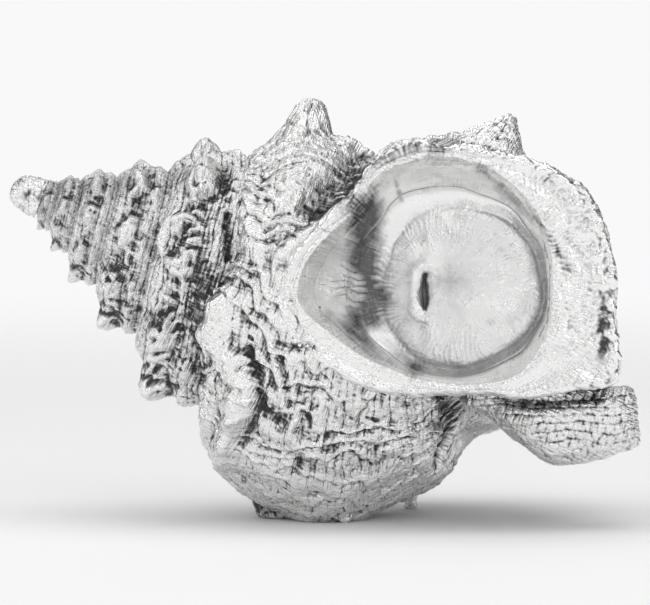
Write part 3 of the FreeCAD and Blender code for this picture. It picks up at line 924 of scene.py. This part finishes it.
# turned pieces ----------------------------------------------------------------------------
def turned(name, outline, rows, columns, unevenness, dark_tone, replaced, foot=None):
    """Closed piece turned about the shell's axis, or about a vertical line above its foot."""
    place, angle = np.meshgrid(
        np.linspace(0, 1, rows),
        np.linspace(0, 2 * math.pi, columns, endpoint=False),
        indexing="ij",
    )
    outline = smooth_line(outline, place)
    radius = outline[..., 1]
    if foot is None:
        points = np.stack(
            [outline[..., 0], FLATNESS * radius * np.sin(angle), radius * np.cos(angle)], -1
        )
        points = to_frame(points)
    else:
        points = np.stack([radius * np.cos(angle), radius * np.sin(angle), outline[..., 0]], -1)
        points = points + np.asarray(foot, float)
    uneven = unevenness * (noise(points, 4.0, 16) + creases(points, 1.8, 17) - 0.4)
    uneven *= np.minimum(radius / 1.5, 1)
    centre = points.mean(axis=1, keepdims=True)
    away = points - centre
    length = np.maximum(np.linalg.norm(away, axis=-1), 0.5)[..., None]
    grid = points + away / length * uneven[..., None]
    if foot is not None:
        grid[..., 2] = np.maximum(grid[..., 2], foot[2])
    dark = np.clip(dark_tone - 0.4 * uneven / unevenness, 0, 1)
    return ring_piece(name, grid, dark, grid[..., :2], OUTSIDE, replaced)


# outlines as (distance along the line, radius)
APEX_OUTLINE = [(-0.3, 0.05), (0.2, 2.3), (2.2, 4.3), (6.0, 5.6), (9.5, 6.0)]
PILLAR_OUTLINE = [(24, 1.2), (90, 4.5), (150, 8.5), (168, 12.5), (179, 12.5), (186, 6)]
NUB_OUTLINE = [(0, 0.1), (0, 2.2), (0.5, 3.5), (3, 4.0), (8, 5.0), (12, 6.2)]
# (name, foot in the frame, width, dark tone); the basal nub's high dark tone is painted shadow,
# as it sits in shade under the belly
NUBS = [
    ("basal_nub", (-15.8, 2.4, 0), 1.8, 0.9),
    ("belly_nub", (4.2, -12.6, 0), 0.5, 0.5),
    ("rear_nub", (24.2, 26.4, 0), 0.5, 0.4),
]
turned("apex_tip", APEX_OUTLINE, 40, 64, 0.5, 0.62, ["apex_protoconch"])
turned("columella_pillar", PILLAR_OUTLINE, 60, 24, 0.3, 0.62, ["columella"])
for nub, foot, width, dark_tone in NUBS:
    outline = [(height, width * radius) for height, radius in NUB_OUTLINE]
    turned(nub + "_skin", outline, 60, 90, 0.3, dark_tone, [nub], foot)

# stage ------------------------------------------------------------------------------------
FLOOR_COLOUR = (0.86, 0.86, 0.86, 1)
BACKGROUND = (0.945, 0.945, 0.945, 1)
FLOOR_HALF = 12.0
FADE_START = 0.2
FADE_END = 0.9
OBJECT_MIDDLE = (0.0, 0.0, 0.06)
BRIGHT_SIDE = (-0.55, -0.45, 0.70)
LENS = 400.0
SENSOR_WIDTH = 36.0
VIEW_WIDTH = 0.195
CAMERA_TARGET = (-0.00185, 0.0, 0.065)
CAMERA_ELEVATION = math.radians(4.5)


def floor_white():
    """Pale floor that fades into an evenly lit white far from the middle."""
    material = bpy.data.materials.new("floor_white")
    material.use_nodes = True
    tree = material.node_tree
    surface = tree.nodes["Principled BSDF"]
    surface.inputs["Base Color"].default_value = FLOOR_COLOUR
    surface.inputs["Roughness"].default_value = 0.8
    place = node(tree, "ShaderNodeTexCoord").outputs["Object"]
    away = node(tree, "ShaderNodeVectorMath", {0: place}, operation="LENGTH")
    share = node(
        tree, "ShaderNodeMapRange",
        {"Value": away.outputs["Value"], "From Min": FADE_START, "From Max": FADE_END},
        interpolation_type="SMOOTHSTEP",
    )
    glow = node(tree, "ShaderNodeEmission", {"Color": BACKGROUND})
    mix = node(
        tree, "ShaderNodeMixShader",
        {0: share.outputs[0], 1: surface.outputs[0], 2: glow.outputs[0]},
    )
    output = tree.nodes["Material Output"]
    tree.links.new(mix.outputs[0], output.inputs["Surface"])
    return material


def make_floor():
    """Large flat floor."""
    half = FLOOR_HALF
    corners = [(-half, -half, 0), (half, -half, 0), (half, half, 0), (-half, half, 0)]
    mesh = bpy.data.meshes.new("floor")
    mesh.from_pydata(corners, [], [(0, 1, 2, 3)])
    mesh.materials.append(floor_white())
    item = bpy.data.objects.new("floor", mesh)
    bpy.context.scene.collection.objects.link(item)


def lamp(name, place, aim, size, power):
    """Rectangular lamp that points at aim."""
    light = bpy.data.lights.new(name, "AREA")
    light.shape = "RECTANGLE"
    light.size, light.size_y = size
    light.energy = power
    item = bpy.data.objects.new(name, light)
    item.location = place
    item.rotation_euler = (Vector(aim) - Vector(place)).to_track_quat("-Z", "Y").to_euler()
    bpy.context.scene.collection.objects.link(item)
    return item


def make_world():
    """Uneven grey room for reflections, brighter to one side, and an even background."""
    world = bpy.data.worlds.new("studio")
    world.use_nodes = True
    tree = world.node_tree
    tree.nodes.clear()
    direction = node(tree, "ShaderNodeTexCoord").outputs["Generated"]
    room = node(tree, "ShaderNodeTexNoise", {"Vector": direction, "Scale": 1.7, "Detail": 1.5})
    ramp = node(tree, "ShaderNodeValToRGB", {"Fac": room.outputs["Fac"]})
    ramp.color_ramp.elements[0].position = 0.40
    ramp.color_ramp.elements[0].color = (0.05, 0.05, 0.05, 1)
    ramp.color_ramp.elements[1].position = 0.56
    ramp.color_ramp.elements[1].color = (0.92, 0.92, 0.92, 1)
    side = node(
        tree, "ShaderNodeVectorMath", {0: direction, 1: BRIGHT_SIDE}, operation="DOT_PRODUCT"
    )
    strength = node(
        tree, "ShaderNodeMapRange",
        {"Value": side.outputs["Value"], "From Min": -0.8, "From Max": 0.8,
         "To Min": 0.2, "To Max": 1.2},
    )
    lit = node(
        tree, "ShaderNodeVectorMath", {0: ramp.outputs["Color"], "Scale": strength.outputs[0]},
        operation="SCALE",
    )
    seen = node(tree, "ShaderNodeLightPath").outputs["Is Camera Ray"]
    shown = node(
        tree, "ShaderNodeMix", {"Factor": seen, "A": lit.outputs[0], "B": BACKGROUND},
        data_type="RGBA",
    )
    light = node(
        tree, "ShaderNodeBackground", {"Color": shown.outputs["Result"], "Strength": 1.0}
    )
    node(tree, "ShaderNodeOutputWorld", {"Surface": light.outputs["Background"]})
    bpy.context.scene.world = world
    bpy.context.scene.view_settings.view_transform = "Standard"


def make_camera():
    """Long lens a little above the object, straight in front."""
    data = bpy.data.cameras.new("camera")
    data.lens = LENS
    data.sensor_width = SENSOR_WIDTH
    camera = bpy.data.objects.new("camera", data)
    target = Vector(CAMERA_TARGET)
    distance = VIEW_WIDTH * LENS / SENSOR_WIDTH
    away = Vector((0, -math.cos(CAMERA_ELEVATION), math.sin(CAMERA_ELEVATION)))
    camera.location = target + away * distance
    camera.rotation_euler = (target - camera.location).to_track_quat("-Z", "Y").to_euler()
    bpy.context.scene.collection.objects.link(camera)
    bpy.context.scene.camera = camera


make_floor()
lamp("top_box", (0.05, 0.05, 0.9), OBJECT_MIDDLE, (0.9, 0.7), 2.6)
lamp("left_box", (-0.8, -0.35, 0.45), OBJECT_MIDDLE, (0.5, 0.6), 1.3)
lamp("right_box", (0.8, -0.5, 0.5), OBJECT_MIDDLE, (0.4, 0.6), 1.2)
lamp("front_box", (0.15, -1.3, 0.75), OBJECT_MIDDLE, (0.8, 0.35), 1.2)
floor_wash = lamp("floor_wash", (0.0, -0.3, 2.1), (0.0, 0.2, 0.0), (2.4, 2.0), 17.0)
floor_wash.visible_glossy = False
make_world()
make_camera()
